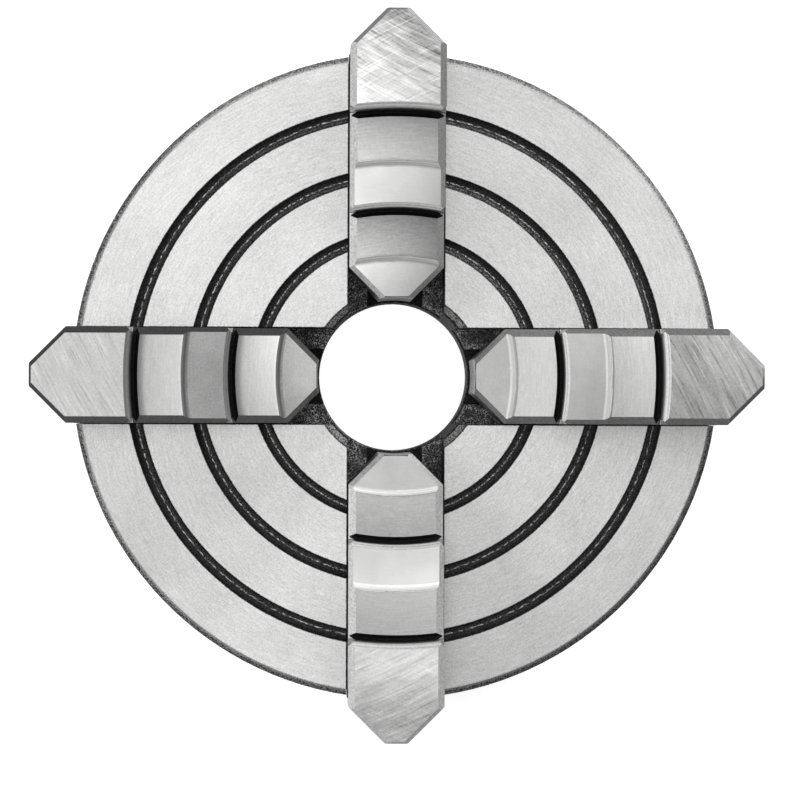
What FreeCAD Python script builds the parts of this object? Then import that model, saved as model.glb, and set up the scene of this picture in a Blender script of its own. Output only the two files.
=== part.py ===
import FreeCAD, Part
import math
import os

from FreeCAD import Vector

# Four-jaw independent lathe chuck, all lengths in mm.
# The bore axis is Z. Z = 0 is the flat back rim that seats on the spindle flange,
# and the jaws stand on the +Z side. Jaw 1 lies along +X and jaws 2, 3 and 4 follow
# at 90 degree steps towards +Y, -X and -Y. Every jaw station is the same geometry.

STATIONS = 4
STATION_STEP = 360.0 / STATIONS

# Body
BODY_DIAMETER = 125.0
BODY_HEIGHT = 42.0
FACE_EDGE_CHAMFER = 1.2
BACK_EDGE_CHAMFER = 1.0
BORE_DIAMETER = 30.0
BORE_FACE_CHAMFER = 1.7
BORE_BACK_CHAMFER = 0.6
REGISTER_DIAMETER = 95.0
REGISTER_DEPTH = 4.0
REGISTER_CHAMFER = 0.4

# Concentric sighting grooves turned in the face
GROOVE_COUNT = 3
GROOVE_FIRST_RADIUS = 27.0
GROOVE_SPACING = 12.0
GROOVE_SECTION_RADIUS = 1.25

# M8 mounting holes, tapped from the back between the jaw slots
BOLT_CIRCLE = 108.0
BOLT_HOLE_DIAMETER = 6.8
BOLT_HOLE_DEPTH = 18.0
BOLT_MOUTH_DIAMETER = 8.5
DRILL_POINT_ANGLE = 118.0

# Jaw slot: an upper slot, a pair of rails, and a lower slot over the screw
SLOT_HALF_WIDTH = 9.4
RAIL_HALF_GAP = 5.5
RAIL_TOP = 28.8
RAIL_BOTTOM = 24.2

# Operating screw, left-hand trapezoidal thread
SCREW_AXIS_HEIGHT = 15.5
SCREW_PITCH = 3.0
SCREW_MAJOR_RADIUS = 8.0
SCREW_ROOT_RADIUS = 6.5
THREAD_HALF_CREST = 0.6
THREAD_HALF_ROOT = 0.9
THREAD_OVERLAP = 0.2
SCREW_INNER_END = 18.0
SCREW_OUTER_END = 60.5
SCREW_END_CHAMFER = 0.8
NECK_CENTRE = 36.4
NECK_WIDTH = 6.2
NECK_RADIUS = 5.0
SOCKET_ACROSS_FLATS = 8.0
SOCKET_DEPTH = 12.0
SOCKET_CORNER_RADIUS = 0.8
SOCKET_MOUTH_RADIUS = 5.6
SOCKET_MOUTH_DEPTH = 1.2

# Channel for the screw in the body
CHANNEL_RADIUS = 8.2
CHANNEL_INNER_END = 17.0

# Thrust block, pressed in from the back and straddling the screw neck
BLOCK_HOLE_RADIUS = 10.0
BLOCK_RADIUS = 9.99
BLOCK_FOOT = REGISTER_DEPTH + 0.3
BLOCK_TOP = SCREW_AXIS_HEIGHT - 0.1
BLOCK_CHAMFER = 0.5
WEB_THICKNESS = 5.9
WEB_NOTCH_RADIUS = 5.05

# Jaw, measured outwards from its inner tip
JAW_TIP_RADIUS = 15.0
JAW_LENGTH = 54.3
JAW_HALF_WIDTH = 9.1
GUIDE_HALF_WIDTH = 9.3
GUIDE_TOP = 41.0
JAW_BOTTOM = 16.0
BOTTOM_CHAMFER = 0.4
INNER_TIP_HALF_FLAT = 3.2
OUTER_TIP_HALF_FLAT = 2.2
TIP_HOLLOW_DEPTH = 0.25
NECK_HALF_WIDTH = 5.4
RAIL_CLEARANCE = 0.1

# Jaw steps. The two gripping walls are ground as arcs about one centre line.
STEP_CENTRE = -29.0
LOW_LEDGE = 46.0
MID_LEDGE = 52.0
HIGH_LEDGE = 58.0
MID_WALL_RADIUS = 46.3
HIGH_WALL_RADIUS = 64.7
RELIEF_DROP = 0.55
COVE_WIDTH = 1.3
LOW_COVE_RADIUS = 37.2
MID_COVE_RADIUS = 55.1
UNDERCUT_WIDTH = 1.4
UNDERCUT_DEPTH = 1.2
UNDERCUT_FLAT = 0.2
UNDERCUT_SKEW = 0.4
RELIEF_OVERRUN = 1.0
LEDGE_BEVEL = 1.45
HIGH_BEVEL = 1.25
OUTER_FLANK_BEVEL = 0.8
OUTER_TIP_BEVEL = 0.45
INNER_TIP_BEVEL = 0.35
MID_WALL_BEVEL = 0.8
HIGH_WALL_BEVEL = 0.9
WALL_CORNER_CHAMFER = 1.0

# Half-nut thread in the jaw: the screw thread with running clearance
NUT_ROOT_CLEARANCE = 0.15
NUT_MAJOR_CLEARANCE = 0.15
NUT_FLANK_CLEARANCE = 0.1

# Derived sizes
BODY_RADIUS = BODY_DIAMETER / 2.0
BORE_RADIUS = BORE_DIAMETER / 2.0
REGISTER_RADIUS = REGISTER_DIAMETER / 2.0
JAW_OUTER_RADIUS = JAW_TIP_RADIUS + JAW_LENGTH
STEP_AXIS_X = JAW_TIP_RADIUS + STEP_CENTRE
THREAD_START = JAW_TIP_RADIUS - SCREW_PITCH
THREAD_RUN = JAW_LENGTH + 2.0 * SCREW_PITCH
REACH = 2.0 * BODY_RADIUS
CLEAR = 5.0

AXIS_X = Vector(1, 0, 0)
AXIS_Y = Vector(0, 1, 0)
AXIS_Z = Vector(0, 0, 1)
ORIGIN = Vector(0, 0, 0)


def block(x0, x1, y0, y1, z0, z1):
    """A rectangular block between opposite corners."""
    return Part.makeBox(x1 - x0, y1 - y0, z1 - z0, Vector(x0, y0, z0))


def turned(profile, axis_x=0.0):
    """Revolve a closed (radius, height) outline about the vertical line at axis_x."""
    points = [Vector(axis_x + radius, 0, height) for radius, height in profile]
    face = Part.Face(Part.makePolygon(points + points[:1]))
    return face.revolve(Vector(axis_x, 0, 0), AXIS_Z, 360)


def along_x(radius, x0, x1):
    """A cylinder on the screw axis of station 1."""
    return Part.makeCylinder(radius, x1 - x0, Vector(x0, 0, SCREW_AXIS_HEIGHT), AXIS_X)


def placed_at(shape, station):
    """Copy a station 1 shape to another jaw station."""
    copy = shape.copy()
    copy.rotate(ORIGIN, AXIS_Z, STATION_STEP * station)
    return copy


# Thread


def thread_ridge(half_crest, half_root, root_radius, major_radius):
    """The helical ridge of the left-hand thread, long enough for the whole jaw."""
    left_handed = True
    path = Part.makeLongHelix(SCREW_PITCH, THREAD_RUN, root_radius, 0, left_handed)
    inner = root_radius - THREAD_OVERLAP
    corners = [
        Vector(inner, 0, -half_root),
        Vector(major_radius, 0, -half_crest),
        Vector(major_radius, 0, half_crest),
        Vector(inner, 0, half_root),
    ]
    sweep = Part.BRepOffsetAPI.MakePipeShell(Part.Wire(path.Edges))
    sweep.setFrenetMode(True)
    sweep.add(Part.makePolygon(corners + corners[:1]))
    sweep.build()
    sweep.makeSolid()
    ridge = sweep.shape()
    ridge.rotate(ORIGIN, AXIS_Y, 90)
    ridge.translate(Vector(THREAD_START, 0, SCREW_AXIS_HEIGHT))
    return ridge


# Operating screw


def screw_blank():
    """The turned outline of the screw: chamfered ends and the thrust neck."""
    start = SCREW_INNER_END
    end = SCREW_OUTER_END
    chamfer = SCREW_END_CHAMFER
    full = SCREW_MAJOR_RADIUS
    small = full - chamfer
    neck_in = NECK_CENTRE - NECK_WIDTH / 2.0
    neck_out = NECK_CENTRE + NECK_WIDTH / 2.0
    outline = [
        (start, 0),
        (start, small),
        (start + chamfer, full),
        (neck_in, full),
        (neck_in, NECK_RADIUS),
        (neck_out, NECK_RADIUS),
        (neck_out, full),
        (end - chamfer, full),
        (end, small),
        (end, 0),
    ]
    points = [Vector(x, 0, SCREW_AXIS_HEIGHT + radius) for x, radius in outline]
    face = Part.Face(Part.makePolygon(points + points[:1]))
    return face.revolve(Vector(0, 0, SCREW_AXIS_HEIGHT), AXIS_X, 360)


def key_socket():
    """The square key socket with rounded corners and a countersunk mouth."""
    half = SOCKET_ACROSS_FLATS / 2.0
    start = SCREW_OUTER_END - SOCKET_DEPTH
    middle = SCREW_AXIS_HEIGHT
    square = block(start, SCREW_OUTER_END + CLEAR, -half, half, middle - half, middle + half)
    long_edges = [edge for edge in square.Edges if abs(edge.tangentAt(0).x) > 0.99]
    square = square.makeFillet(SOCKET_CORNER_RADIUS, long_edges)
    mouth = Part.makeCone(
        SOCKET_MOUTH_RADIUS - SOCKET_MOUTH_DEPTH,
        SOCKET_MOUTH_RADIUS,
        SOCKET_MOUTH_DEPTH,
        Vector(SCREW_OUTER_END - SOCKET_MOUTH_DEPTH, 0, middle),
        AXIS_X,
    )
    return square.fuse(mouth)


def jaw_screw():
    """Operating screw of station 1, held endways by its neck."""
    core = along_x(SCREW_ROOT_RADIUS, THREAD_START, THREAD_START + THREAD_RUN)
    ridge = thread_ridge(THREAD_HALF_CREST, THREAD_HALF_ROOT, SCREW_ROOT_RADIUS, SCREW_MAJOR_RADIUS)
    rod = core.fuse(ridge).common(screw_blank())
    return rod.cut(key_socket())


# Thrust block


def thrust_block():
    """Half bearing that traps the screw neck from below."""
    body = Part.makeCylinder(
        BLOCK_RADIUS,
        BLOCK_TOP - BLOCK_FOOT,
        Vector(NECK_CENTRE, 0, BLOCK_FOOT),
    )
    foot_edges = [edge for edge in body.Edges if edge.BoundBox.ZMax < BLOCK_FOOT + 0.01]
    body = body.makeChamfer(BLOCK_CHAMFER, foot_edges)
    web_in = NECK_CENTRE - WEB_THICKNESS / 2.0
    web_out = NECK_CENTRE + WEB_THICKNESS / 2.0
    inner_half_bore = along_x(CHANNEL_RADIUS, NECK_CENTRE - REACH, web_in)
    outer_half_bore = along_x(CHANNEL_RADIUS, web_out, NECK_CENTRE + REACH)
    notch = along_x(WEB_NOTCH_RADIUS, web_in - CLEAR, web_out + CLEAR)
    return body.cut(inner_half_bore).cut(outer_half_bore).cut(notch)


# Body


def body_blank():
    """The turned body: bore, register recess and chamfered rims.

    The bore's wall is parted at the height of the slot floors, where its full ring ends.
    """
    return turned(
        [
            (BORE_RADIUS + BORE_BACK_CHAMFER, REGISTER_DEPTH),
            (REGISTER_RADIUS, REGISTER_DEPTH),
            (REGISTER_RADIUS, REGISTER_CHAMFER),
            (REGISTER_RADIUS + REGISTER_CHAMFER, 0),
            (BODY_RADIUS - BACK_EDGE_CHAMFER, 0),
            (BODY_RADIUS, BACK_EDGE_CHAMFER),
            (BODY_RADIUS, BODY_HEIGHT - FACE_EDGE_CHAMFER),
            (BODY_RADIUS - FACE_EDGE_CHAMFER, BODY_HEIGHT),
            (BORE_RADIUS + BORE_FACE_CHAMFER, BODY_HEIGHT),
            (BORE_RADIUS, BODY_HEIGHT - BORE_FACE_CHAMFER),
            (BORE_RADIUS, SCREW_AXIS_HEIGHT),
            (BORE_RADIUS, REGISTER_DEPTH + BORE_BACK_CHAMFER),
        ]
    )


def face_grooves():
    """The sighting grooves, half-round in section."""
    grooves = []
    for index in range(GROOVE_COUNT):
        radius = GROOVE_FIRST_RADIUS + GROOVE_SPACING * index
        grooves.append(Part.makeTorus(radius, GROOVE_SECTION_RADIUS, Vector(0, 0, BODY_HEIGHT)))
    return grooves


def jaw_slot():
    """Everything milled and bored for one jaw station, as one cutter."""
    half = SLOT_HALF_WIDTH
    gap = RAIL_HALF_GAP
    floor = SCREW_AXIS_HEIGHT
    upper = block(0, REACH, -half, half, RAIL_TOP, BODY_HEIGHT + CLEAR)
    between_rails = block(0, REACH, -gap, gap, floor, BODY_HEIGHT)
    lower = block(0, REACH, -half, half, floor, RAIL_BOTTOM)
    channel = along_x(CHANNEL_RADIUS, CHANNEL_INNER_END, REACH)
    block_hole = Part.makeCylinder(BLOCK_HOLE_RADIUS, floor, Vector(NECK_CENTRE, 0, 0))
    return upper.multiFuse([between_rails, lower, channel, block_hole])


def bolt_hole():
    """One mounting hole with its mouth chamfer and drill point."""
    radius = BOLT_HOLE_DIAMETER / 2.0
    mouth = BOLT_MOUTH_DIAMETER / 2.0
    point = radius / math.tan(math.radians(DRILL_POINT_ANGLE / 2.0))
    hole = turned(
        [
            (0, 0),
            (mouth, 0),
            (radius, mouth - radius),
            (radius, BOLT_HOLE_DEPTH),
            (0, BOLT_HOLE_DEPTH + point),
        ]
    )
    hole.translate(Vector(BOLT_CIRCLE / 2.0, 0, 0))
    hole.rotate(ORIGIN, AXIS_Z, STATION_STEP / 2.0)
    return hole


def chuck_body():
    """The one-piece cast body."""
    cutters = face_grooves()
    for station in range(STATIONS):
        cutters.append(placed_at(jaw_slot(), station))
        cutters.append(placed_at(bolt_hole(), station))
    return body_blank().cut(cutters)


# Jaw


def jaw_outline(half_width):
    """Plan corners of a jaw, counted anticlockwise from the inner tip."""
    inner = JAW_TIP_RADIUS
    outer = JAW_OUTER_RADIUS
    inner_shoulder = inner + half_width - INNER_TIP_HALF_FLAT
    outer_shoulder = outer - half_width + OUTER_TIP_HALF_FLAT
    return [
        Vector(inner, INNER_TIP_HALF_FLAT, 0),
        Vector(inner, -INNER_TIP_HALF_FLAT, 0),
        Vector(inner_shoulder, -half_width, 0),
        Vector(outer_shoulder, -half_width, 0),
        Vector(outer, -OUTER_TIP_HALF_FLAT, 0),
        Vector(outer, OUTER_TIP_HALF_FLAT, 0),
        Vector(outer_shoulder, half_width, 0),
        Vector(inner_shoulder, half_width, 0),
    ]


def jaw_prism(half_width, bottom, top):
    """The jaw's plan shape drawn up between two heights."""
    corners = jaw_outline(half_width)
    face = Part.Face(Part.makePolygon(corners + corners[:1]))
    face.translate(Vector(0, 0, bottom))
    return face.extrude(Vector(0, 0, top - bottom))


def edge_bevel(start, end, height, size, upward=True):
    """A 45 degree cutter along one straight plan edge of an anticlockwise outline."""
    run = (end - start).normalize()
    inward = AXIS_Z.cross(run)
    rise = 1 if upward else -1
    extra = run * (2.0 * GUIDE_HALF_WIDTH)
    lift = AXIS_Z * rise
    corner = start - extra + AXIS_Z * height
    points = [
        corner + inward * (size + CLEAR) + lift * CLEAR,
        corner - inward * CLEAR + lift * CLEAR,
        corner - inward * CLEAR - lift * (size + CLEAR),
    ]
    face = Part.Face(Part.makePolygon(points + points[:1]))
    return face.extrude((end - start) + extra * 2.0)


def bevelled_prism(bottom, top, side_bevel, outer_flank, outer_tip, inner_flank, inner_tip):
    """A jaw-shaped block whose top edges carry the ground bevels."""
    corners = jaw_outline(JAW_HALF_WIDTH)
    sizes = [
        inner_tip,
        inner_flank,
        side_bevel,
        outer_flank,
        outer_tip,
        outer_flank,
        side_bevel,
        inner_flank,
    ]
    shape = jaw_prism(JAW_HALF_WIDTH, bottom, top)
    for index, size in enumerate(sizes):
        start = corners[index]
        end = corners[(index + 1) % len(corners)]
        shape = shape.cut(edge_bevel(start, end, top, size))
    return shape


def step_ring(radius, bottom, top):
    """The round space inside a gripping wall."""
    return Part.makeCylinder(radius, top - bottom, Vector(STEP_AXIS_X, 0, bottom))


def wall_corner(radius, side, bottom, top):
    """The vertical chamfer where a gripping wall meets one side of the jaw."""
    reach = math.sqrt(radius**2 - JAW_HALF_WIDTH**2)
    size = WALL_CORNER_CHAMFER
    corner = Vector(STEP_AXIS_X + reach, side * JAW_HALF_WIDTH, bottom)
    points = [
        corner + Vector(size + CLEAR, side * CLEAR, 0),
        corner + Vector(-CLEAR, side * CLEAR, 0),
        corner + Vector(-CLEAR, -side * (size + CLEAR), 0),
    ]
    face = Part.Face(Part.makePolygon(points + points[:1]))
    return face.extrude(Vector(0, 0, top - bottom))


def raised_step(wall_radius, ledge, top, side_bevel, wall_bevel, wall_top):
    """One raised step of the jaw, standing behind its concave gripping wall."""
    step = bevelled_prism(
        GUIDE_TOP,
        top,
        side_bevel,
        OUTER_FLANK_BEVEL,
        OUTER_TIP_BEVEL,
        side_bevel,
        side_bevel,
    )
    step = step.cut(step_ring(wall_radius, GUIDE_TOP - CLEAR, top + CLEAR))
    for side in (-1, 1):
        step = step.cut(wall_corner(wall_radius, side, ledge, top + CLEAR))
    lip = [
        (wall_radius - CLEAR, wall_top - wall_bevel - CLEAR),
        (wall_radius + wall_bevel + CLEAR, wall_top + CLEAR),
        (wall_radius - CLEAR, wall_top + CLEAR),
    ]
    return step.cut(turned(lip, STEP_AXIS_X))


def relief(cove_radius, inner_radius, ledge):
    """The relieved surface in front of a ledge, ending in a wheel-radius cove."""
    floor = ledge - RELIEF_DROP
    wheel = (COVE_WIDTH**2 + RELIEF_DROP**2) / (2.0 * RELIEF_DROP)
    foot = Vector(STEP_AXIS_X + cove_radius - COVE_WIDTH, 0, floor)
    lip = Vector(STEP_AXIS_X + cove_radius, 0, ledge)
    half_angle = math.asin(COVE_WIDTH / wheel) / 2.0
    middle = foot + Vector(wheel * math.sin(half_angle), 0, wheel * (1.0 - math.cos(half_angle)))
    above = lip + AXIS_Z * CLEAR
    start = Vector(STEP_AXIS_X + inner_radius, 0, floor)
    edges = [
        Part.makeLine(start, foot),
        Part.Arc(foot, middle, lip).toShape(),
        Part.makeLine(lip, above),
        Part.makeLine(above, Vector(start.x, 0, above.z)),
        Part.makeLine(Vector(start.x, 0, above.z), start),
    ]
    face = Part.Face(Part.Wire(edges))
    return face.revolve(Vector(STEP_AXIS_X, 0, 0), AXIS_Z, 360)


def undercut(wall_radius, ledge):
    """The grinding undercut at the foot of a gripping wall."""
    centre = wall_radius - UNDERCUT_SKEW * UNDERCUT_WIDTH
    half_flat = UNDERCUT_FLAT / 2.0
    return turned(
        [
            (wall_radius - UNDERCUT_WIDTH, ledge),
            (centre - half_flat, ledge - UNDERCUT_DEPTH),
            (centre + half_flat, ledge - UNDERCUT_DEPTH),
            (wall_radius, ledge),
            (wall_radius, ledge + CLEAR),
            (wall_radius - UNDERCUT_WIDTH, ledge + CLEAR),
        ],
        STEP_AXIS_X,
    )


def guide_base():
    """The part of the jaw that runs in the body slot."""
    base = jaw_prism(GUIDE_HALF_WIDTH, JAW_BOTTOM, GUIDE_TOP)
    corners = jaw_outline(GUIDE_HALF_WIDTH)
    for index in range(len(corners)):
        start = corners[index]
        end = corners[(index + 1) % len(corners)]
        base = base.cut(edge_bevel(start, end, JAW_BOTTOM, BOTTOM_CHAMFER, upward=False))
    bottom = RAIL_BOTTOM - RAIL_CLEARANCE
    top = RAIL_TOP + RAIL_CLEARANCE
    for y0, y1 in ((-REACH, -NECK_HALF_WIDTH), (NECK_HALF_WIDTH, REACH)):
        base = base.cut(block(0, REACH, y0, y1, bottom, top))
    return base


def half_nut():
    """Cutters for the half-nut thread along the jaw's underside."""
    core = along_x(SCREW_ROOT_RADIUS + NUT_ROOT_CLEARANCE, 0, REACH)
    ridge = thread_ridge(
        THREAD_HALF_CREST + NUT_FLANK_CLEARANCE,
        THREAD_HALF_ROOT + NUT_FLANK_CLEARANCE,
        SCREW_ROOT_RADIUS,
        SCREW_MAJOR_RADIUS + NUT_MAJOR_CLEARANCE,
    )
    return core, ridge


def tip_hollow():
    """The shallow hollow ground down the inner tip's gripping face."""
    depth = TIP_HOLLOW_DEPTH
    radius = (INNER_TIP_HALF_FLAT**2 + depth**2) / (2.0 * depth)
    centre = Vector(JAW_TIP_RADIUS + depth - radius, 0, 0)
    return Part.makeCylinder(radius, HIGH_LEDGE + CLEAR, centre)


def jaw():
    """Reversible stepped jaw of station 1 at rest."""
    low_step = bevelled_prism(
        GUIDE_TOP,
        LOW_LEDGE,
        LEDGE_BEVEL,
        LEDGE_BEVEL,
        LEDGE_BEVEL,
        LEDGE_BEVEL,
        INNER_TIP_BEVEL + RELIEF_DROP,
    )
    mid_step = raised_step(
        MID_WALL_RADIUS, LOW_LEDGE, MID_LEDGE, LEDGE_BEVEL, MID_WALL_BEVEL, MID_LEDGE - RELIEF_DROP
    )
    high_step = raised_step(
        HIGH_WALL_RADIUS, MID_LEDGE, HIGH_LEDGE, HIGH_BEVEL, HIGH_WALL_BEVEL, HIGH_LEDGE
    )
    shape = guide_base().multiFuse([low_step, mid_step, high_step]).removeSplitter()
    tip_side = JAW_TIP_RADIUS - STEP_AXIS_X - RELIEF_OVERRUN
    shape = shape.cut(relief(LOW_COVE_RADIUS, tip_side, LOW_LEDGE))
    shape = shape.cut(relief(MID_COVE_RADIUS, MID_WALL_RADIUS - RELIEF_OVERRUN, MID_LEDGE))
    shape = shape.cut(undercut(MID_WALL_RADIUS, LOW_LEDGE))
    shape = shape.cut(undercut(HIGH_WALL_RADIUS, MID_LEDGE))
    shape = shape.cut(tip_hollow())
    core, ridge = half_nut()
    return shape.cut(core).cut(ridge)


def export(name, shape):
    """Write one piece as a STEP file."""
    solids = shape.Solids
    if len(solids) != 1 or not solids[0].isValid():
        raise RuntimeError(name + " isn't one valid solid")
    solids[0].exportStep(os.path.join("parts", name + ".step"))


def main():
    os.makedirs("parts", exist_ok=True)
    export("chuck_body", chuck_body())
    station_pieces = {
        "jaw": jaw(),
        "jaw_screw": jaw_screw(),
        "thrust_block": thrust_block(),
    }
    for name, shape in station_pieces.items():
        for station in range(STATIONS):
            export(name + "_" + str(station + 1), placed_at(shape, station))


main()
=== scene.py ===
import math
from typing import NamedTuple

import bpy
from mathutils import Matrix, Vector


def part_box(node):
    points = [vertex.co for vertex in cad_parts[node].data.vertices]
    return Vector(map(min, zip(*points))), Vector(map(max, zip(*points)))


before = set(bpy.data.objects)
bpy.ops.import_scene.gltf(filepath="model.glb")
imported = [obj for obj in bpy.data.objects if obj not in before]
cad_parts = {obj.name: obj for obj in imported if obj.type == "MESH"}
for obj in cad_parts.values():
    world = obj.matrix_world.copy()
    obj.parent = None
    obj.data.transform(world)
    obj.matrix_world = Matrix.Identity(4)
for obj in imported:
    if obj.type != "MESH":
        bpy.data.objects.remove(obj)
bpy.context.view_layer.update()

# The shaders work in millimetres in the frame's axes: the bore is Z, jaw 1 lies along +X
MM = 1000.0
STATIONS = 4

# Body, in millimetres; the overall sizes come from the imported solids
BODY_HIGH = Vector(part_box("chuck_body")[1]) * MM
JAW_LOW, JAW_HIGH = (Vector(corner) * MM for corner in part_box("jaw_1"))
FACE_HEIGHT = BODY_HIGH.z
BODY_RADIUS = BODY_HIGH.x
JAW_TIP_RADIUS = JAW_LOW.x
JAW_TOP = JAW_HIGH.z
BORE_RADIUS = 15.0
BORE_MOUTH_RADIUS = 16.7
SLOT_HALF_WIDTH = 9.4
RAIL_TOP = 28.8
GROOVE_RADII = (27.0, 39.0, 51.0)
GROOVE_HALF_WIDTH = 1.25
RIM_CHAMFER = 1.2
REGISTER_RADIUS = 47.5
REGISTER_DEPTH = 4.0

# Screw and thrust block: the height of the screw's axis, then distances out from the
# bore's axis, then radii about the screw's axis
SCREW_AXIS_HEIGHT = 15.5
SCREW_END = 60.5
SOCKET_FLOOR = 48.5
BLOCK_CENTRE = 36.4
THREAD_CREST_RADIUS = 8.0
SOCKET_CORNER_RADIUS = 5.9

# Jaw: the step walls are arcs about STEP_CENTRE, a point on the jaw's line measured
# outwards from its tip, and a REACH is a distance from that point
STEP_CENTRE = -29.0
RELIEF_DROP = 0.55
UNDERCUT_HALF_WIDTH = 0.78
UNDERCUT_DEPTH = 1.5
TOP_REACH = (66.0, 82.0)
# The grinding marks on the top bow about this far from the tip
MARKS_CENTRE = 45.0
# A jaw's lean, its change of tone from side to side, is stated LEAN_SIDE off the middle.
# It goes from its inner value to its outer one over LEAN_REACH.
LEAN_REACH = (32.0, 56.0)
LEAN_SIDE = 5.6
TIP_HALF_WIDTH = 3.6
GUIDE_TOP = 41.0
THREAD_TOP = 24.1
THREAD_BOTTOM = 15.9
THREAD_HALF_WIDTH = 8.4
# Pale lines in a cove, at these distances inside the ledge's inner edge
COVE_LINES = (1.05, 0.20)
# Ridges that the cutter left along the wall bevels, in radians per millimetre
RIDGE_RATE = 11.4

# How far lay marks run along an arc, in millimetres per radian of bearing
FACE_ARC = 40.0
LEDGE_ARC = 50.0
BLOCK_ARC = 8.0

# Noise seeds: the first of a kind of piece, and the step from one station to the next
BODY_OXIDE_SEED = 20.0
JAW_SEEDS = (40.0, 7.0)
SCREW_SEEDS = (80.0, 5.0)
BLOCK_SEEDS = (110.0, 5.0)
CARD_SEED = 140.0


class Step(NamedTuple):
    """One step of a jaw: its ledge's height, and the reach of each of its parts."""

    ledge: float
    relief_reach: tuple
    ledge_reach: tuple
    undercut: float
    wall: float


STEPS = (
    Step(ledge=46.0, relief_reach=(30.0, 36.0), ledge_reach=(37.2, 45.0), undercut=45.6, wall=46.3),
    Step(ledge=52.0, relief_reach=(47.5, 54.0), ledge_reach=(55.1, 63.4), undercut=64.0, wall=64.7),
)
LOW_RELIEF = STEPS[0].ledge - RELIEF_DROP


class JawFinishAndLight(NamedTuple):
    """Brightness of one jaw's surfaces, partly the steel's own tone and partly painted light and
    shade that differ from jaw to jaw and side to side, and how the grinder left its top.

    reliefs and ledges hold one pair for each step. A pair runs from the inner end to the
    outer end, except side_bevel's, which is the bevel on the jaw's clockwise side and then
    the other, and end_bevel's, which is the same for the bevels of the outer point.
    cove_line scales the brightness of the ledge where the cove meets it. mark_angle is in
    degrees from the jaw's radial axis, cross is the strength of the marks that run the
    other way, and band and line that of broad and fine marks. lean is a painted sheen, how
    much brighter the flat surfaces are LEAN_SIDE off the middle, towards the anticlockwise
    side. relief_grain is the strength of the reliefs' grain, ledge_shade how much the
    ledges darken before the undercut, and wall how far the upper part of a step's wall is
    lightened with a painted highlight.
    """

    reliefs: tuple
    ledges: tuple
    top: tuple
    side_bevel: tuple
    end_bevel: tuple
    wall_bevel: float
    cove: float
    cove_line: float
    mark_angle: float
    cross: float
    band: float
    line: float
    lean: tuple
    relief_grain: float
    ledge_shade: float
    wall: float


JAW_FINISHES_AND_LIGHT = (
    JawFinishAndLight(
        reliefs=((0.55, 0.57), (0.60, 0.57)),
        ledges=((0.64, 0.70), (0.55, 0.70)),
        top=(0.43, 0.48),
        side_bevel=(0.29, 0.40),
        end_bevel=(0.22, 0.62),
        wall_bevel=0.95,
        cove=0.34,
        cove_line=0.55,
        mark_angle=-61.0,
        cross=0.15,
        band=0.10,
        line=0.17,
        lean=(-0.04, 0.08),
        relief_grain=0.12,
        ledge_shade=0.0,
        wall=0.35,
    ),
    JawFinishAndLight(
        reliefs=((0.51, 0.65), (0.66, 0.69)),
        ledges=((0.44, 0.30), (0.53, 0.38)),
        top=(0.83, 0.41),
        side_bevel=(0.42, 0.80),
        end_bevel=(0.60, 0.50),
        wall_bevel=0.95,
        cove=0.62,
        cove_line=0.85,
        mark_angle=63.0,
        cross=0.9,
        band=0.26,
        line=0.26,
        lean=(0.34, 0.17),
        relief_grain=0.08,
        ledge_shade=0.0,
        wall=0.8,
    ),
    JawFinishAndLight(
        reliefs=((0.51, 0.42), (0.32, 0.32)),
        ledges=((0.72, 0.50), (0.61, 0.50)),
        top=(0.55, 0.54),
        side_bevel=(0.13, 0.19),
        end_bevel=(0.12, 0.12),
        wall_bevel=0.34,
        cove=0.17,
        cove_line=1.15,
        mark_angle=-62.0,
        cross=0.25,
        band=0.04,
        line=0.12,
        lean=(-0.14, 0.0),
        relief_grain=0.22,
        ledge_shade=0.5,
        wall=0.0,
    ),
    JawFinishAndLight(
        reliefs=((0.64, 0.64), (0.80, 0.95)),
        ledges=((0.52, 0.44), (0.57, 0.49)),
        top=(0.79, 0.46),
        side_bevel=(0.85, 0.76),
        end_bevel=(0.85, 0.76),
        wall_bevel=1.0,
        cove=0.58,
        cove_line=0.95,
        mark_angle=-66.0,
        cross=0.7,
        band=0.12,
        line=0.15,
        lean=(0.0, 0.04),
        relief_grain=0.08,
        ledge_shade=0.0,
        wall=0.9,
    ),
)


# Shader building


class Value:
    """A float socket or number in a shader graph, with arithmetic."""

    def __init__(self, graph, socket):
        self.graph = graph
        self.socket = socket

    def __add__(self, other):
        return self.graph.math("ADD", self, other)

    def __radd__(self, other):
        return self.graph.math("ADD", other, self)

    def __sub__(self, other):
        return self.graph.math("SUBTRACT", self, other)

    def __rsub__(self, other):
        return self.graph.math("SUBTRACT", other, self)

    def __mul__(self, other):
        return self.graph.math("MULTIPLY", self, other)

    def __rmul__(self, other):
        return self.graph.math("MULTIPLY", other, self)

    def __neg__(self):
        return self.graph.math("MULTIPLY", self, -1.0)

    def __abs__(self):
        return self.graph.math("ABSOLUTE", self)

    def at_most(self, other):
        return self.graph.math("MINIMUM", self, other)

    def at_least(self, other):
        return self.graph.math("MAXIMUM", self, other)

    def fade(self, low, high):
        """0 at low, 1 at high, smooth between. low above high runs the other way."""
        return self.graph.fade(self, low, high)

    def near(self, centre, half, soft):
        """1 within half of centre, falling to 0 over soft beyond it."""
        return abs(self - centre).fade(half + soft, half)


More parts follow.
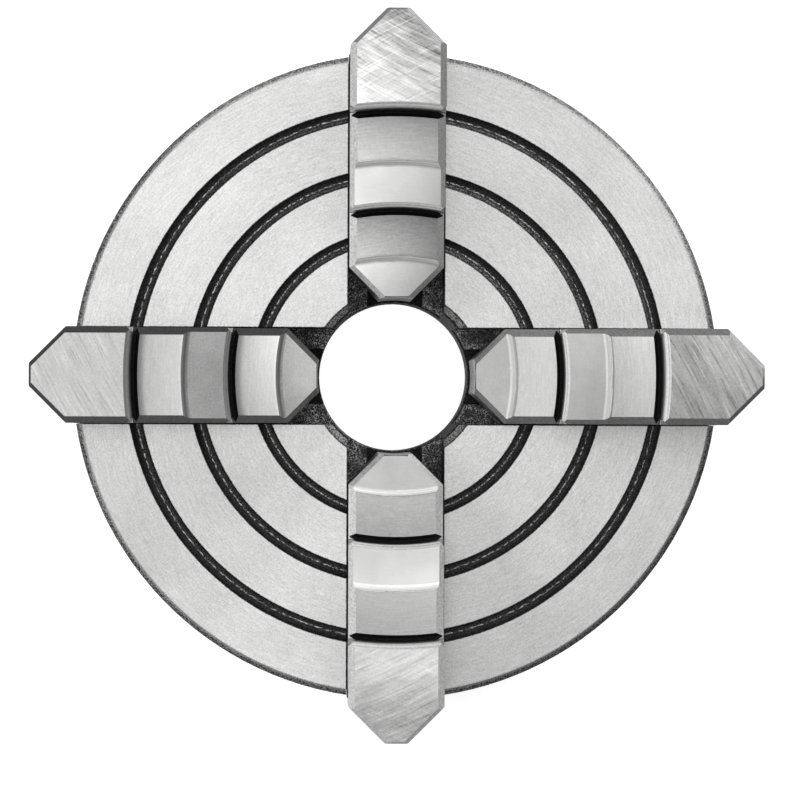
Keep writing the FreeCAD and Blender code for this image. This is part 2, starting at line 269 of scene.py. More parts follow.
class Graph:
    """The nodes of one procedural material or world."""

    def __init__(self, owner):
        owner.use_nodes = True
        self.owner = owner
        self.tree = owner.node_tree
        self.tree.nodes.clear()

    def read_position(self):
        """Object position in millimetres and the surface's own normal."""
        coordinates = self.tree.nodes.new("ShaderNodeTexCoord")
        self.position = self.vector_math("SCALE", coordinates.outputs["Object"], scale=MM)
        self.x, self.y, self.z = self.split(self.position)
        self.nx, self.ny, self.nz = self.split(coordinates.outputs["Normal"])

    def plug(self, target, value):
        if isinstance(value, Value):
            value = value.socket
        if isinstance(value, bpy.types.NodeSocket):
            self.tree.links.new(value, target)
        else:
            target.default_value = value

    def math(self, operation, first, second=0.0):
        node = self.tree.nodes.new("ShaderNodeMath")
        node.operation = operation
        self.plug(node.inputs[0], first)
        self.plug(node.inputs[1], second)
        return Value(self, node.outputs[0])

    def vector_math(self, operation, vector, scale):
        node = self.tree.nodes.new("ShaderNodeVectorMath")
        node.operation = operation
        self.plug(node.inputs[0], vector)
        self.plug(node.inputs["Scale"], scale)
        return node.outputs[0]

    def length(self, x, y):
        return self.math("SQRT", x * x + y * y)

    def bearing(self, x, y):
        return self.math("ARCTAN2", y, x)

    def split(self, vector):
        node = self.tree.nodes.new("ShaderNodeSeparateXYZ")
        self.plug(node.inputs[0], vector)
        return [Value(self, output) for output in node.outputs]

    def join(self, x, y, z=0.0):
        node = self.tree.nodes.new("ShaderNodeCombineXYZ")
        for target, value in zip(node.inputs, (x, y, z)):
            self.plug(target, value)
        return node.outputs[0]

    def fade(self, value, low, high):
        node = self.tree.nodes.new("ShaderNodeMapRange")
        node.interpolation_type = "SMOOTHSTEP"
        self.plug(node.inputs["Value"], value)
        rising = low < high
        node.inputs["From Min"].default_value = min(low, high)
        node.inputs["From Max"].default_value = max(low, high)
        node.inputs["To Min"].default_value = 0.0 if rising else 1.0
        node.inputs["To Max"].default_value = 1.0 if rising else 0.0
        return Value(self, node.outputs["Result"])

    def noise(self, vector, cell, seed, detail=2.0, roughness=0.5):
        """Smooth noise from 0 to 1 with features about one cell across."""
        node = self.tree.nodes.new("ShaderNodeTexNoise")
        node.noise_dimensions = "4D"
        self.plug(node.inputs["Vector"], vector)
        node.inputs["Scale"].default_value = 1.0 / cell
        node.inputs["W"].default_value = seed
        node.inputs["Detail"].default_value = detail
        node.inputs["Roughness"].default_value = roughness
        return Value(self, node.outputs["Fac"])

    def streaks(self, across, along, width, length, seed, detail=2.0, roughness=0.6):
        """Noise drawn out into lines of the given width and length in millimetres."""
        lines = self.join(across * (1.0 / width), along * (1.0 / length))
        return self.noise(lines, 1.0, seed, detail, roughness)

    def spots(self, vector, cell, seed):
        """Distance to the nearest of scattered points, in cells."""
        node = self.tree.nodes.new("ShaderNodeTexVoronoi")
        node.voronoi_dimensions = "4D"
        self.plug(node.inputs["Vector"], vector)
        node.inputs["Scale"].default_value = 1.0 / cell
        node.inputs["W"].default_value = seed
        return Value(self, node.outputs["Distance"])

    def mix(self, amount, first, second):
        """Blend two numbers."""
        node = self.tree.nodes.new("ShaderNodeMix")
        node.data_type = "FLOAT"
        self.plug(node.inputs[0], amount)
        self.plug(node.inputs[2], first)
        self.plug(node.inputs[3], second)
        return Value(self, node.outputs[0])

    def grey(self, level, warmth=0.0):
        """A near-neutral colour from a brightness value."""
        return self.join(level * (1.0 + warmth), level, level * (1.0 - warmth))

    def bump(self, height, strength, distance):
        """Surface relief from a height value, with distance in millimetres."""
        node = self.tree.nodes.new("ShaderNodeBump")
        node.inputs["Strength"].default_value = strength
        node.inputs["Distance"].default_value = distance / MM
        self.plug(node.inputs["Height"], height)
        return node.outputs["Normal"]

    def surface(self, color, roughness, metallic, normal, specular=0.5, glow=0.0):
        shader = self.tree.nodes.new("ShaderNodeBsdfPrincipled")
        self.plug(shader.inputs["Base Color"], color)
        self.plug(shader.inputs["Roughness"], roughness)
        self.plug(shader.inputs["Metallic"], metallic)
        self.plug(shader.inputs["Specular IOR Level"], specular)
        self.plug(shader.inputs["Normal"], normal)
        self.plug(shader.inputs["Emission Color"], (1.0, 1.0, 1.0, 1.0))
        self.plug(shader.inputs["Emission Strength"], glow)
        return shader.outputs[0]

    def choose(self, amount, first, second):
        """Blend two shaders."""
        node = self.tree.nodes.new("ShaderNodeMixShader")
        for target, value in zip(node.inputs, (amount, first, second)):
            self.plug(target, value)
        return node.outputs[0]

    def camera_ray(self):
        return self.tree.nodes.new("ShaderNodeLightPath").outputs["Is Camera Ray"]

    def finish(self, shader, kind="ShaderNodeOutputMaterial"):
        output = self.tree.nodes.new(kind)
        self.tree.links.new(shader, output.inputs["Surface"])
        return self.owner


def new_material(name):
    graph = Graph(bpy.data.materials.new(name))
    graph.read_position()
    return graph


def sector(g, x, y, span, bearing, full, faded):
    """1 within the full half angle of a bearing, 0 beyond the faded one, in degrees."""
    east = math.cos(math.radians(bearing))
    north = math.sin(math.radians(bearing))
    towards = g.math("DIVIDE", x * east + y * north, span)
    return towards.fade(math.cos(math.radians(faded)), math.cos(math.radians(full)))


def oxide(g, seed):
    """Black oxide on iron: its brightness, and the grain that makes its relief."""
    grain = g.noise(g.position, 0.24, seed, detail=2.0, roughness=0.7)
    broad = g.noise(g.position, 2.4, seed + 3.0)
    level = 0.004 + broad * 0.008 + grain.fade(0.50, 0.68) * 0.05
    return level, grain


# Body

# Painted sheen and shade of the face's circular lay: bearing and half width of a sector in degrees,
# change of tone
PAINTED_SHEEN_AND_SHADE = (
    (60.0, 26.0, -0.11),
    (92.0, 12.0, 0.06),
    (150.0, 45.0, 0.05),
    (210.0, 17.0, -0.11),
    (247.0, 15.0, 0.11),
    (293.0, 19.0, -0.10),
)


def face_finish(g, radius, angle):
    """Ground face: short marks round the axis, faint long arcs, cloudy tone, a few pits."""
    sweep = angle * FACE_ARC
    lay = radius + angle * 1.5
    short = g.streaks(lay, sweep, 0.22, 2.4, 1.0, detail=2.0, roughness=0.7)
    long = g.streaks(lay, sweep, 0.8, 12.0, 2.0)
    cross = g.streaks(radius - angle * 9.0, sweep, 0.35, 5.0, 8.0)
    grain = g.noise(g.position, 0.24, 3.0, detail=1.0, roughness=0.7)
    cloud = g.noise(g.position, 13.0, 4.0, detail=3.0)
    patch = g.noise(g.position, 5.0, 6.0)
    pit = g.spots(g.position, 2.0, 5.0).fade(0.10, 0.03) * patch.fade(0.48, 0.58)
    tone = 0.68 + (short - 0.5) * 0.40 + (long - 0.5) * 0.08 + (cross - 0.5) * 0.18
    tone = tone + (grain - 0.5) * 0.50 + (cloud - 0.5) * 0.22
    tone = tone + cross.fade(0.64, 0.74) * 0.06 - pit * 0.34
    # Painted sheen and shade: the face's tone is lightened or darkened in sectors
    for bearing, half, change in PAINTED_SHEEN_AND_SHADE:
        tone = tone * (1.0 + sector(g, g.x, g.y, radius, bearing, 0.0, half) * change)
    roughness = 0.36 + (short - 0.5) * 0.14 + (cloud - 0.5) * 0.10
    height = short + cross * 0.6 + grain * 0.8 - pit
    return tone, roughness, height


def ground_areas(g, radius, grain):
    """Masks of what grinding and turning left bright: the face, the rim, the back's seat."""
    ragged = (grain - 0.5) * 1.2
    up = g.nz.fade(0.93, 0.985)
    face = g.z.fade(FACE_HEIGHT - 0.06, FACE_HEIGHT - 0.03) * up
    rim_edge = BODY_RADIUS - RIM_CHAMFER
    face = face * (radius + ragged * 0.8).fade(rim_edge + 0.1, rim_edge - 0.25)
    face = face * (radius + ragged * 0.5).fade(BORE_MOUTH_RADIUS, BORE_MOUTH_RADIUS + 0.2)
    for groove in GROOVE_RADII:
        offset = abs(radius - groove) + ragged * 0.30
        face = face * offset.fade(GROOVE_HALF_WIDTH - 0.02, GROOVE_HALF_WIDTH + 0.16)
    slot_edge = abs(g.x).at_most(abs(g.y)) - SLOT_HALF_WIDTH
    face = face * (slot_edge + ragged * 0.25).fade(0.0, 0.16)
    rim = radius.fade(BODY_RADIUS - 0.3, BODY_RADIUS - 0.1) * abs(g.nz).fade(0.3, 0.1)
    back = g.nz.fade(-0.9, -0.98) * g.z.fade(0.3, 0.1)
    register = g.z.fade(REGISTER_DEPTH - 0.1, REGISTER_DEPTH - 0.3) * (1.0 - back)
    register = register * radius.near(REGISTER_RADIUS, 0.3, 0.3)
    return face, rim, (back + register).at_most(1.0)


def groove_light(g, radius, angle, grain):
    """Painted glints in the face grooves: a highlight line at the bottom, and a lit shoulder on the
    side that faces the light.
    """
    line = g.streaks(radius, angle * FACE_ARC, 0.25, 0.8, 22.0, detail=3.0, roughness=0.75)
    line = line.fade(0.47, 0.62)
    # Painted light: each groove's inner shoulder is lit where the groove faces bearing 0.95 radians
    facing = g.math("COSINE", angle - 0.95).fade(-0.1, 0.95)
    speck = grain.fade(0.40, 0.60)
    light = 0.0
    for groove in GROOVE_RADII:
        offset = radius - groove
        light = light + offset.near(-0.08, 0.05, 0.16) * line * 0.62
        light = light + offset.near(-0.95, 0.18, 0.28) * facing * speck * 0.40
        light = light + offset.near(-0.60, 0.20, 0.30) * speck * 0.035
    return light * g.z.fade(FACE_HEIGHT - 3.0, FACE_HEIGHT - 2.0)


def dark_areas(g, radius, angle):
    """Oxide brightness over the rest of the body, with its lighter places, some of them painted
    glints and light.
    """
    level, grain = oxide(g, BODY_OXIDE_SEED)
    # Painted glints and lit shoulders in the grooves
    level = level + groove_light(g, radius, angle, grain)

    # Chamfer round the rim: speckled, painted lighter towards jaw 3 as if lit from that side, and
    # brighter in a sector near jaw 2
    rim_edge = BODY_RADIUS - RIM_CHAMFER
    chamfer = radius.fade(rim_edge - 0.3, rim_edge)
    chamfer = chamfer * g.z.fade(FACE_HEIGHT - RIM_CHAMFER - 0.2, FACE_HEIGHT - RIM_CHAMFER)
    lit = g.math("COSINE", angle - 3.4).fade(-0.6, 0.9) * 0.38 + 0.50
    worn = (grain + radius.fade(BODY_RADIUS - 0.5, rim_edge) * 0.16).fade(0.44, 0.64)
    chamfer_bright_sector = sector(g, g.x, g.y, radius, 75.0, 42.0, 72.0) * (0.12 + worn * 0.30)
    level = level + chamfer * ((0.01 + worn * 0.52) * lit + chamfer_bright_sector)

    # Bore mouth, and the rails of the jaw slots, where bare iron shows through
    mouth = radius.fade(BORE_MOUTH_RADIUS + 0.15, BORE_MOUTH_RADIUS - 0.05)
    mouth = mouth * g.z.fade(FACE_HEIGHT - 2.0, FACE_HEIGHT - 1.7)
    brink = radius.fade(BORE_RADIUS + 0.35, BORE_RADIUS + 0.55)
    brink = brink * radius.fade(BORE_MOUTH_RADIUS, BORE_MOUTH_RADIUS - 0.35)
    level = level + mouth * brink * (0.02 + grain.fade(0.40, 0.60) * 0.46)
    rail = g.z.near(RAIL_TOP, 0.1, 0.1) * g.nz.fade(0.9, 0.97)
    wear = g.noise(g.position, 3.0, 27.0, detail=2.0).fade(0.35, 0.62) * 0.7 + 0.3
    level = level + rail * wear * (0.004 + grain.fade(0.46, 0.64) * 0.50)
    bore = radius.near(BORE_RADIUS, 0.1, 0.1)
    level = level + bore * grain.fade(0.44, 0.62) * 0.22
    return level, grain


def body_material():
    """Iron body: ground face, turned rim and back, black oxide everywhere else."""
    g = new_material("chuck_iron")
    radius = g.length(g.x, g.y)
    angle = g.bearing(g.x, g.y)
    face_tone, face_rough, face_height = face_finish(g, radius, angle)
    dark, grain = dark_areas(g, radius, angle)
    face, rim, back = ground_areas(g, radius, grain)

    sweep = angle * BODY_RADIUS
    rim_fine = g.streaks(g.z, sweep, 0.22, 12.0, 11.0, detail=3.0)
    rim_band = g.streaks(g.z, sweep, 1.4, 60.0, 12.0)
    ring = g.streaks(radius, sweep, 0.3, 40.0, 13.0)
    stain = g.noise(g.position, 11.0, 14.0, detail=3.0)
    rim_tone = 0.50 + (rim_fine - 0.5) * 0.24 + (rim_band - 0.5) * 0.14 + (stain - 0.5) * 0.14
    back_tone = 0.46 + (ring - 0.5) * 0.26 + (stain - 0.5) * 0.18

    # Turned floor of the register recess, dark but ringed
    recess = g.nz.fade(-0.9, -0.98) * g.z.near(REGISTER_DEPTH, 0.3, 0.3)
    dark = dark + recess * (0.03 + (ring - 0.5).at_least(0.0) * 0.45)

    ground = (face + rim + back).at_most(1.0)
    tone = g.mix(back, g.mix(rim, face_tone, rim_tone), back_tone)
    turned_rough = 0.36 + (stain - 0.5) * 0.16
    ground_rough = g.mix((rim + back).at_most(1.0), face_rough, turned_rough)
    turned_height = g.mix(back, rim_fine * 1.4, ring * 1.6)
    ground_height = g.mix((rim + back).at_most(1.0), face_height, turned_height)
    color = g.grey(g.mix(ground, dark, tone), 0.004)
    roughness = g.mix(ground, 0.50 + (grain - 0.5) * 0.3, ground_rough)
    metallic = g.mix(ground, dark.fade(0.03, 0.12), 0.96)
    specular = g.mix(ground, 0.16, 0.5)
    normal = g.bump(g.mix(ground, grain * 2.4, ground_height), 0.55, 0.012)
    return g.finish(g.surface(color, roughness, metallic, normal, specular))


# Jaws


def station_axes(g, station):
    """Radial and sideways coordinates of one jaw station, and of the normal there."""
    along, side, n_along, n_side = g.x, g.y, g.nx, g.ny
    for _ in range(station):
        along, side = side, -along
        n_along, n_side = n_side, -n_along
    return along, side, n_along, n_side


def grinding_marks(g, along, side, angle, seed):
    """One family of slightly bowed marks at an angle to the jaw: fine lines and broad bands."""
    cosine = math.cos(math.radians(angle))
    sine = math.sin(math.radians(angle))
    run = along * cosine + side * sine
    across = side * cosine - along * sine
    across = across + run * run * 0.004
    fine = g.streaks(across, run, 0.44, 11.0, seed, detail=2.0, roughness=0.7)
    band = g.streaks(across, run, 1.6, 9.0, seed + 0.5, detail=4.0, roughness=0.6)
    return fine, band


def top_finish(g, along, side, reach, grain, finish, seed):
    """The high top: crossing families of diagonal grinding marks over a slow change of tone that
    paints its sheen.
    """
    along = along - MARKS_CENTRE
    fine, band = grinding_marks(g, along, side, finish.mark_angle, seed)
    cross, cross_band = grinding_marks(g, along, side, -finish.mark_angle, seed + 2.0)
    inner, outer = finish.top
    tone = g.mix(reach.fade(*TOP_REACH), inner, outer)
    tone = tone + (band.fade(0.38, 0.62) - 0.5) * finish.band + (cross_band - 0.5) * finish.band
    scratch = (fine - 0.5) * 2.2 + fine.fade(0.58, 0.64) * 0.5 - fine.fade(0.42, 0.36) * 0.6
    crossing = (cross - 0.5) * 2.0 + cross.fade(0.60, 0.66) * 0.6
    tone = tone + (scratch + crossing * finish.cross) * finish.line + (grain - 0.5) * 0.34
    return tone, fine + cross * 0.4


def ledge_finish(g, reach, fine, grain, span, tones):
    """An arc-ground ledge, its tone sliding from the inner edge to the outer one."""
    slide = g.mix(reach.fade(*span), *tones)
    return slide + (fine - 0.5) * 0.26 + fine.fade(0.62, 0.74) * 0.08 + (grain - 0.5) * 0.22


def cove_finish(reach, fine, grain, finish):
    """Two pale lines with a darker one between, along the cove before each ledge."""
    tone = finish.cove * (1.0 + (fine - 0.5) * 0.3 + (grain - 0.5) * 0.3)
    for step in STEPS:
        for line in COVE_LINES:
            pale = reach.near(step.ledge_reach[0] - line, 0.10, 0.16)
            tone = tone + pale * finish.cove * 0.45
    return tone


def jaw_areas(g, along, side, n_along, n_side, reach):
    """Masks of a jaw's surfaces. reliefs and ledges are lists, with one mask for each step."""
    flat = g.nz.fade(0.95, 0.99)
    bevel = g.nz.near(0.707, 0.04, 0.03)
    upright = abs(g.nz).fade(0.3, 0.1)
    tip = along.fade(1.9, 1.6) * abs(side).fade(TIP_HALF_WIDTH, TIP_HALF_WIDTH - 0.3)
    tip = tip * g.nz.fade(0.9, 0.85) * n_along.fade(-0.5, -0.6)
    thread = g.z.fade(THREAD_TOP, THREAD_TOP - 0.4)
    thread = thread * g.z.fade(THREAD_BOTTOM, THREAD_BOTTOM + 0.15)
    thread = thread * abs(side).fade(THREAD_HALF_WIDTH, THREAD_HALF_WIDTH - 0.2)
    reliefs, ledges = [], []
    cove_line = undercut = wall = shade = 0.0
    for step in STEPS:
        reliefs.append(g.z.near(step.ledge - RELIEF_DROP, 0.10, 0.06) * flat)
        before_wall = reach.fade(step.wall + 0.2, step.wall)
        ledges.append(g.z.near(step.ledge, 0.06, 0.05) * flat * before_wall)
        cove_line = cove_line + reach.near(step.ledge_reach[0] + 0.14, 0.12, 0.10) * flat
        bottom = step.ledge - UNDERCUT_DEPTH
        below = g.z.fade(step.ledge - 0.03, step.ledge - 0.08) * g.z.fade(bottom, bottom + 0.1)
        undercut = undercut + reach.near(step.undercut, UNDERCUT_HALF_WIDTH, 0.05) * below
        # Painted highlight: the upper part of each step's wall is marked to be lightened
        upper = g.z.fade(step.ledge + 1.5, step.ledge + 4.2)
        wall = wall + reach.near(step.wall, 0.3, 0.3) * upper
        edge = step.undercut - UNDERCUT_HALF_WIDTH
        shade = shade + reach.fade(edge - 1.6, edge - 0.1) * reach.fade(edge + 1.0, edge + 0.9)
    return {
        "upright": upright,
        "wall": wall * upright * n_along.fade(-0.7, -0.9),
        "guide": g.z.fade(GUIDE_TOP + 0.3, GUIDE_TOP + 0.1),
        "thread": thread,
        "bevel": bevel,
        "wall_bevel": bevel * n_along.fade(-0.6, -0.68),
        "tip": tip,
        "cove": g.nz.near(0.87, 0.08, 0.03) * g.z.fade(GUIDE_TOP + 3.0, GUIDE_TOP + 3.2),
        "cove_line": cove_line,
        "reliefs": reliefs,
        "ledges": ledges,
        "shade": shade,
        "top": g.z.fade(JAW_TOP - 0.2, JAW_TOP - 0.1) * flat,
        "undercut": undercut * abs(n_side).fade(0.5, 0.35),
        "flat": flat,
    }


def bevel_finish(g, side, n_along, grain, lengthwise, finish):
    """The bevels along a jaw's sides and round its outer point, each side painted lighter or darker
    as light falls on it.
    """
    across = side.fade(-1.0, 1.0)
    side_bevel = g.mix(across, *finish.side_bevel)
    end_bevel = g.mix(across, *finish.end_bevel)
    tone = g.mix(n_along.fade(0.30, 0.45), side_bevel, end_bevel)
    return tone * (0.95 + (lengthwise - 0.5) * 0.40 + (grain - 0.5) * 1.30)


def jaw_material(station):
    """Hardened jaw: arc-ground ledges, crossed marks on top, polished reliefs, oxide below, and
    painted light and shade.
    """
    finish = JAW_FINISHES_AND_LIGHT[station]
    seed = JAW_SEEDS[0] + station * JAW_SEEDS[1]
    g = new_material(f"jaw_steel_{station + 1}")
    along, side, n_along, n_side = station_axes(g, station)
    along = along - JAW_TIP_RADIUS
    reach = g.length(along - STEP_CENTRE, side)
    sweep = g.bearing(along - STEP_CENTRE, side) * LEDGE_ARC
    areas = jaw_areas(g, along, side, n_along, n_side, reach)

    grain = g.noise(g.position, 0.36, seed + 4.0, detail=2.0, roughness=0.7)
    cloud = g.noise(g.position, 6.0, seed + 5.0)
    arc = g.streaks(reach, sweep, 0.28, 3.5, seed, detail=3.0)
    edge_line = g.streaks(reach, sweep, 0.40, 30.0, seed + 1.0)
    ridge = g.math("COSINE", reach * RIDGE_RATE)
    lengthwise = g.streaks(g.z, along + side, 0.24, 7.0, seed + 6.0, detail=3.0)
    dark, speckle = oxide(g, seed + 8.0)

    top_tone, top_height = top_finish(g, along, side, reach, grain, finish, seed + 2.0)
    side_bevel = bevel_finish(g, side, n_along, grain, lengthwise, finish)
    wall_bevel = finish.wall_bevel * (0.72 + ridge * 0.14 + edge_line * 0.30 + (grain - 0.5) * 0.60)
    tip_edge = g.z.fade(LOW_RELIEF - 0.55, LOW_RELIEF - 0.40)
    # Lighter towards the top of the gripping face
    tip_top_lighter = g.z.fade(STEPS[0].ledge - 5.0, STEPS[0].ledge - 2.0) * 0.4
    gripping = g.mix(tip_edge, 0.60 + tip_top_lighter + (grain - 0.5) * 3.0, 0.05)
    # Painted shade: the guide's shoulder, seen in the gap beside the jaw, is darkened to a shadow
    # line
    shoulder = g.z.near(GUIDE_TOP, 0.25, 0.1)
    guide = 0.34 + (lengthwise - 0.5) * 0.20 + (cloud - 0.5) * 0.16
    polish = (cloud - 0.5) * 0.22 + (arc - 0.5) * 0.06 + (grain - 0.5) * finish.relief_grain
    shade = 1.0 - areas["shade"] * finish.ledge_shade
    wall = areas["wall"] * finish.wall

    # Mask, brightness and roughness of each surface. A later row covers an earlier one, and
    # None leaves the roughness as it was.
    surfaces = [
        (
            areas["upright"],
            0.50 + (lengthwise - 0.5) * 0.22 + (cloud - 0.5) * 0.14,
            0.34 + (lengthwise - 0.5) * 0.14,
        ),
        # Painted highlight on the upper part of each step's wall
        (wall, 0.95 + (lengthwise - 0.5) * 0.50 + (grain - 0.5) * 0.80, None),
        (areas["guide"], g.mix(shoulder, guide, dark * 0.5), None),
        (areas["thread"], 0.20 + (grain - 0.5) * 0.12, None),
        (areas["bevel"], side_bevel, 0.36 + (lengthwise - 0.5) * 0.12),
        (areas["wall_bevel"], wall_bevel, 0.46),
        (areas["tip"], gripping, 0.62),
        (areas["cove"], cove_finish(reach, arc, grain, finish), None),
    ]
    for step, area, tones in zip(STEPS, areas["reliefs"], finish.reliefs):
        relief = g.mix(reach.fade(*step.relief_reach), *tones)
        surfaces.append((area, relief + polish, 0.22 + (cloud - 0.5) * 0.10))
    for step, area, tones in zip(STEPS, areas["ledges"], finish.ledges):
        ledge = ledge_finish(g, reach, arc, grain, step.ledge_reach, tones)
        surfaces.append((area, ledge * shade, 0.38 + (arc - 0.5) * 0.16))
    surfaces.append((areas["top"], top_tone, 0.34 + (top_height - 0.7) * 0.16))
    surfaces.append((areas["undercut"], dark * 0.4 + 0.006, 0.6))
    tone = 0.30 + (grain - 0.5) * 0.12
    rough = 0.28
    for area, brightness, roughness in surfaces:
        tone = g.mix(area, tone, brightness)
        if roughness is not None:
            rough = g.mix(area, rough, roughness)
    tone = tone * (1.0 + areas["cove_line"] * (finish.cove_line - 1.0))
    # Painted sheen: the flat surfaces grow lighter or darker from one side of the jaw to the other
    lean = g.mix(reach.fade(*LEAN_REACH), *finish.lean) * side * (1.0 / LEAN_SIDE)
    tone = tone * (1.0 + lean * areas["flat"])

    height = g.mix(areas["top"], arc * 0.8 + grain * 0.3, top_height * 1.5 + grain * 0.3)
    height = g.mix(areas["upright"], height, lengthwise)
    height = g.mix(areas["guide"], height, lengthwise * 0.6 + speckle)
    polished = areas["reliefs"][0] + areas["reliefs"][1]
    height = g.mix(polished, height, cloud * 0.4 + arc * 0.2)
    metallic = 1.0 - areas["undercut"] * 0.9 - areas["tip"] * 0.65 - wall * 0.6
    specular = 0.5 - areas["undercut"] * 0.4
    normal = g.bump(height, 0.5, 0.010)
    return g.finish(g.surface(g.grey(tone, 0.005), rough, metallic, normal, specular))


# Screws and thrust blocks


def screw_material(station):
    """Black-oxide screw with worn bright crests."""
    seed = SCREW_SEEDS[0] + station * SCREW_SEEDS[1]
    g = new_material(f"screw_oxide_{station + 1}")
    along, side, n_along, _ = station_axes(g, station)
    rise = g.z - SCREW_AXIS_HEIGHT
    radius = g.length(side, rise)
    around = g.bearing(side, rise) * THREAD_CREST_RADIUS
    dark, speckle = oxide(g, seed)
    turned = g.streaks(along, around, 0.25, 5.0, seed + 1.0, detail=3.0)
    facing = g.streaks(radius, around, 0.25, 6.0, seed + 2.0)
    crest = radius.fade(THREAD_CREST_RADIUS - 0.3, THREAD_CREST_RADIUS - 0.05)
    crest = crest * speckle.fade(0.38, 0.60)
    crest = crest * along.fade(SCREW_END - 1.0, SCREW_END - 1.4)
    end = abs(n_along).fade(0.8, 0.95)
    tone = 0.035 + dark * 1.3 + turned * 0.05 + crest * 0.34 + end * facing.fade(0.45, 0.70) * 0.10
    socket = along.fade(SOCKET_FLOOR - 0.2, SOCKET_FLOOR)
    socket = socket * along.fade(SCREW_END, SCREW_END - 1.5)
    socket = socket * radius.fade(SOCKET_CORNER_RADIUS, SOCKET_CORNER_RADIUS - 0.2)
    tone = g.mix(socket, tone, dark + 0.02)
    roughness = 0.34 + (speckle - 0.5) * 0.24 + (turned - 0.5) * 0.10
    normal = g.bump(speckle + turned, 0.5, 0.010)
    return g.finish(g.surface(g.grey(tone, 0.01), roughness, 0.9, normal))


def block_material(station):
    """Dark turned steel thrust block with facing rings on its foot."""
    seed = BLOCK_SEEDS[0] + station * BLOCK_SEEDS[1]
    g = new_material(f"thrust_steel_{station + 1}")
    along, side, _, _ = station_axes(g, station)
    radius = g.length(along - BLOCK_CENTRE, side)
    around = g.bearing(along - BLOCK_CENTRE, side) * BLOCK_ARC
    dark, speckle = oxide(g, seed)
    ring = g.streaks(radius, around, 0.28, 12.0, seed + 1.0, detail=3.0)
    foot = g.nz.fade(-0.8, -0.95)
    foot_tone = 0.26 + (ring - 0.5) * 0.30 + (speckle - 0.5) * 0.10
    tone = g.mix(foot, dark * 1.5 + 0.04, foot_tone)
    roughness = 0.34 + (ring - 0.5) * 0.18
    normal = g.bump(ring * foot + speckle * 0.5, 0.5, 0.012)
    return g.finish(g.surface(g.grey(tone, 0.012), roughness, 0.9, normal))


def dress(node, material):
    """Put one material on a carried-over CAD node."""
    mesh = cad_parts[node].data
    mesh.materials.clear()
    mesh.materials.append(material)


def dress_all():
    dress("chuck_body", body_material())
    for station in range(STATIONS):
        number = station + 1
        dress(f"jaw_{number}", jaw_material(station))
        dress(f"jaw_screw_{number}", screw_material(station))
        dress(f"thrust_block_{number}", block_material(station))


# Stage, in metres

FLOOR_RADIUS = 3.0
FLOOR_POINTS = 96
# How far the chuck reaches over the edge of the floor's opening
FLOOR_OVERLAP = 0.001
# The floor's card: white and glowing to the camera, grey in reflections
CARD_WHITE = 0.90
CARD_GLOW = 0.50
CARD_GREY = 0.30

# Cards standing round the horizon: bearing in degrees, full and faded half angle, brightness
HORIZON_CARDS = (
    (180.0, 22.0, 48.0, 0.49),
    (0.0, 14.0, 38.0, 0.23),
    (45.0, 12.0, 32.0, 1.37),
    (225.0, 14.0, 36.0, 0.17),
)
HORIZON_BASE = 0.42
OVERHEAD = 0.94
# The ceiling's change of brightness towards +X and +Y, and its bounds
CEILING_TILT = (-2.2, 1.5)
CEILING_BOUNDS = (0.55, 1.5)
FROM_BELOW = 0.45
BACKDROP = 1.0

# Soft lights: name, place, size, power in watts. Each is turned to LIGHT_TARGET.
LIGHTS = (
    ("key_softbox", (0.40, 0.45, 0.75), 0.5, 1.6),
    ("fill_softbox", (-0.50, -0.10, 0.60), 0.5, 0.25),
)
LIGHT_TARGET = (0.0, 0.0, 0.03)

CAMERA_PLACE = (-0.0124, -0.0036, 0.622)
CAMERA_TARGET = (0.0008, -0.0046, 0.042)
# Degrees that the view is turned anticlockwise about its own axis
CAMERA_LEAN = 0.22


def floor_material():
    """White card to the camera above it, grey card in reflections, clear from below."""
    g = new_material("studio_card")
    tooth = g.noise(g.position, 1.6, CARD_SEED, detail=3.0)
    normal = g.bump(tooth, 0.15, 0.05)
    mottle = (tooth - 0.5) * 0.02
    seen = g.surface(g.grey(CARD_WHITE + mottle), 0.85, 0.0, normal, 0.1, CARD_GLOW)
    reflected = g.surface(g.grey(CARD_GREY + mottle), 0.85, 0.0, normal, 0.1)
    clear = g.tree.nodes.new("ShaderNodeBsdfTransparent").outputs[0]
    underneath = g.tree.nodes.new("ShaderNodeNewGeometry").outputs["Backfacing"]
    above = g.choose(g.camera_ray(), reflected, seen)
    return g.finish(g.choose(underneath, above, clear))


def build_floor():
    """A wide flat sheet with a round opening, which the chuck covers, so its back is lit too."""
    vertices = []
    for ring_radius in (BODY_RADIUS / MM - FLOOR_OVERLAP, FLOOR_RADIUS):
        for point in range(FLOOR_POINTS):
            turn = math.tau * point / FLOOR_POINTS
            vertices.append((ring_radius * math.cos(turn), ring_radius * math.sin(turn), 0))
    faces = []
    for point in range(FLOOR_POINTS):
        following = (point + 1) % FLOOR_POINTS
        faces.append((point, FLOOR_POINTS + point, FLOOR_POINTS + following, following))
    mesh = bpy.data.meshes.new("studio_floor")
    mesh.from_pydata(vertices, [], faces)
    mesh.materials.append(floor_material())
    floor = bpy.data.objects.new("studio_floor", mesh)
    bpy.context.scene.collection.objects.link(floor)


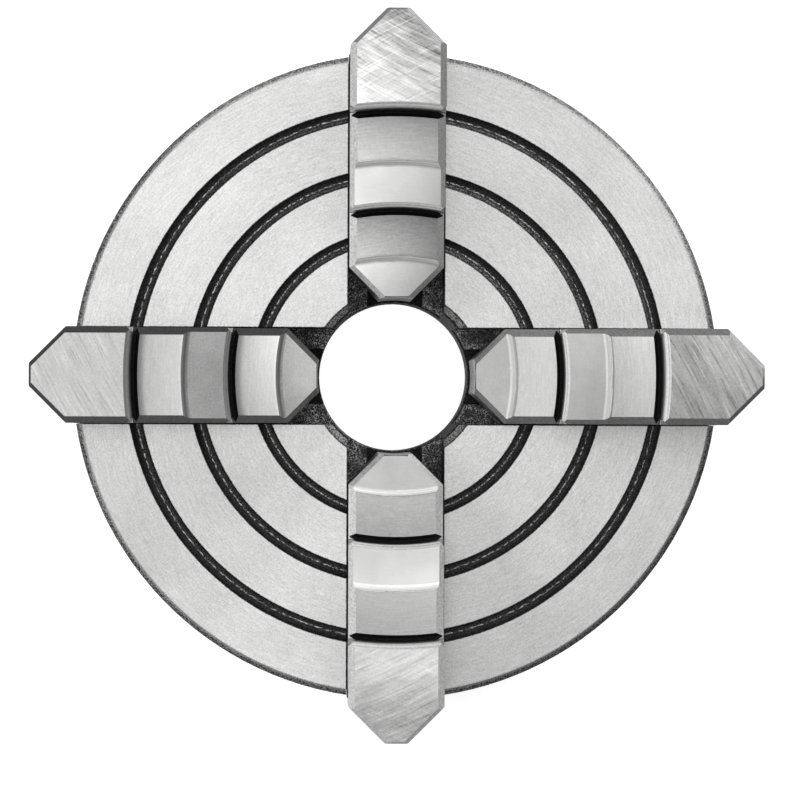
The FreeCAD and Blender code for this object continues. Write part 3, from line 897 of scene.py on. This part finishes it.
def build_world():
    """Studio surroundings: cards round the horizon, a soft bright ceiling, a pale backdrop."""
    g = Graph(bpy.data.worlds.new("studio"))
    bpy.context.scene.world = g.owner
    coordinates = g.tree.nodes.new("ShaderNodeTexCoord")
    x, y, z = g.split(coordinates.outputs["Generated"])
    span = g.length(x, y).at_least(0.001)
    horizon = HORIZON_BASE
    for bearing, full, faded, brightness in HORIZON_CARDS:
        horizon = horizon + sector(g, x, y, span, bearing, full, faded) * brightness
    east, north = CEILING_TILT
    dimmest, brightest = CEILING_BOUNDS
    tilt = (1.0 + y * north + x * east).at_least(dimmest).at_most(brightest)
    level = g.mix(z.fade(0.22, 0.75), horizon, OVERHEAD * tilt)
    level = level * (FROM_BELOW + z.fade(-0.15, 0.0) * (1.0 - FROM_BELOW))
    level = g.mix(g.camera_ray(), level, BACKDROP)
    background = g.tree.nodes.new("ShaderNodeBackground")
    g.plug(background.inputs["Color"], g.grey(level))
    g.finish(background.outputs[0], "ShaderNodeOutputWorld")


def build_lights():
    for name, place, size, power in LIGHTS:
        data = bpy.data.lights.new(name, "AREA")
        data.shape = "DISK"
        data.size = size
        data.energy = power
        light = bpy.data.objects.new(name, data)
        light.location = place
        light.rotation_mode = "QUATERNION"
        ahead = Vector(LIGHT_TARGET) - Vector(place)
        light.rotation_quaternion = ahead.to_track_quat("-Z", "Y")
        bpy.context.scene.collection.objects.link(light)


def build_camera():
    """Straight down on the face, a little to one side of the bore axis, with jaw 2 up."""
    data = bpy.data.cameras.new("camera")
    data.sensor_width = 36.0
    data.lens = 135.0
    data.clip_start = 0.01
    data.clip_end = 10.0
    camera = bpy.data.objects.new("camera", data)
    ahead = (Vector(CAMERA_TARGET) - Vector(CAMERA_PLACE)).normalized()
    lean = math.radians(CAMERA_LEAN)
    right = ahead.cross(Vector((-math.sin(lean), math.cos(lean), 0))).normalized()
    above = right.cross(ahead)
    turn = Matrix((right, above, -ahead)).transposed()
    camera.rotation_mode = "QUATERNION"
    camera.rotation_quaternion = turn.to_quaternion()
    camera.location = CAMERA_PLACE
    bpy.context.scene.collection.objects.link(camera)
    bpy.context.scene.camera = camera


dress_all()
build_floor()
build_world()
build_lights()
build_camera()
bpy.context.scene.view_settings.view_transform = "Standard"
